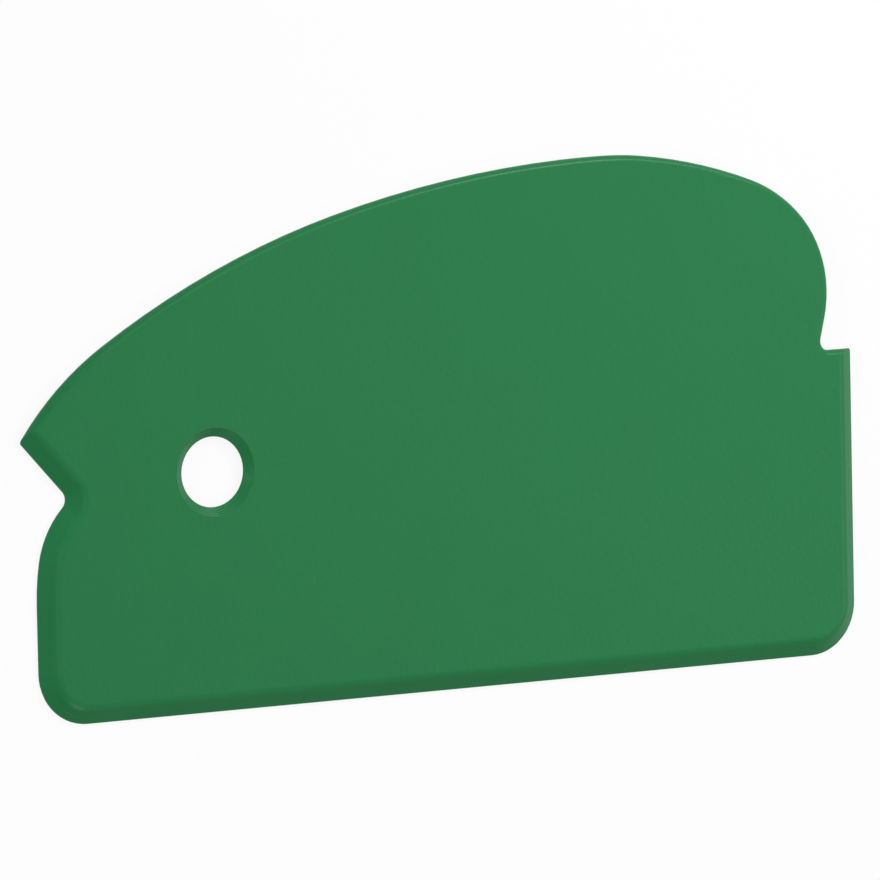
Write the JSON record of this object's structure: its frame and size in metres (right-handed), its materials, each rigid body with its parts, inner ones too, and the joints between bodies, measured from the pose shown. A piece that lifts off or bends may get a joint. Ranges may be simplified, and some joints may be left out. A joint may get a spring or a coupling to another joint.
{
  "type": "pan scraper",
  "caption": "Flat hand scraper in green moulded plastic: bevelled scraping edge with round corners, pointed nose over a notch, rounded hand edge and a flared hanging hole.",
  "frame": {"origin": "on the flat back, in the middle of the plate's length and width", "axes": "+X along the length from the pointed nose to the straight side, +Y from the scraping edge to the hand edge, +Z out of the bevelled face"},
  "size_m": [0.165, 0.09, 0.0024],
  "materials": {
    "green_plastic": "satin moulded polypropylene, deep green, fine spark-eroded texture on the face"
  },
  "bodies": {
    "root": {"scraper_plate": "green_plastic"}
  },
  "joints": []
}
